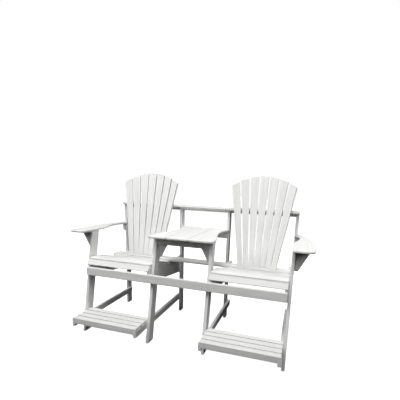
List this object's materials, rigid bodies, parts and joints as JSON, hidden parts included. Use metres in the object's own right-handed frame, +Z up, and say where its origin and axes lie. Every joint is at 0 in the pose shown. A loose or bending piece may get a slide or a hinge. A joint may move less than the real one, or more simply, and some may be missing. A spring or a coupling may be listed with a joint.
{
  "type": "adirondack loveseat",
  "caption": "Tall adirondack tete-a-tete: fan-back chairs with broad arms joined by a small table, with a slatted footrest in front of each chair.",
  "frame": {"origin": "on the floor, under the middle of the overall width and depth", "axes": "+Z up, -Y the front that the sitters face, +X the overall width, to the viewer's right from the front"},
  "size_m": [1.878, 0.9026, 1.3061],
  "materials": {
    "painted_board": "satin white paint"
  },
  "bodies": {
    "root": {"left_outer_front_leg": "painted_board", "left_outer_rear_post": "painted_board", "left_outer_seat_stringer": "painted_board", "left_inner_front_leg": "painted_board", "left_inner_rear_post": "painted_board", "left_inner_seat_stringer": "painted_board", "right_outer_front_leg": "painted_board", "right_outer_rear_post": "painted_board", "right_outer_seat_stringer": "painted_board", "right_inner_front_leg": "painted_board", "right_inner_rear_post": "painted_board", "right_inner_seat_stringer": "painted_board", "front_seat_rail": "painted_board", "lower_back_rail": "painted_board", "upper_back_rail": "painted_board", "left_seat_front_slat": "painted_board", "left_seat_slat_1": "painted_board", "left_seat_slat_2": "painted_board", "left_seat_slat_3": "painted_board", "left_seat_slat_4": "painted_board", "left_seat_slat_5": "painted_board", "left_back_slat_1": "painted_board", "left_back_slat_2": "painted_board", "left_back_slat_3": "painted_board", "left_back_slat_4": "painted_board", "left_back_slat_5": "painted_board", "left_back_slat_6": "painted_board", "left_back_slat_7": "painted_board", "left_arm": "painted_board", "left_arm_block": "painted_board", "left_arm_corbel": "painted_board", "left_table_corbel": "painted_board", "left_footrest_deck": "painted_board", "left_footrest_inner_rail": "painted_board", "left_footrest_front_cleat": "painted_board", "right_seat_front_slat": "painted_board", "right_seat_slat_1": "painted_board", "right_seat_slat_2": "painted_board", "right_seat_slat_3": "painted_board", "right_seat_slat_4": "painted_board", "right_seat_slat_5": "painted_board", "right_back_slat_1": "painted_board", "right_back_slat_2": "painted_board", "right_back_slat_3": "painted_board", "right_back_slat_4": "painted_board", "right_back_slat_5": "painted_board", "right_back_slat_6": "painted_board", "right_back_slat_7": "painted_board", "right_arm": "painted_board", "right_arm_block": "painted_board", "right_arm_corbel": "painted_board", "right_table_corbel": "painted_board", "right_footrest_deck": "painted_board", "right_footrest_inner_rail": "painted_board", "right_footrest_front_cleat": "painted_board", "table_front_apron": "painted_board", "table_rear_cleat": "painted_board", "table_board_left": "painted_board", "table_board_middle": "painted_board", "table_board_right": "painted_board"}
  },
  "joints": []
}
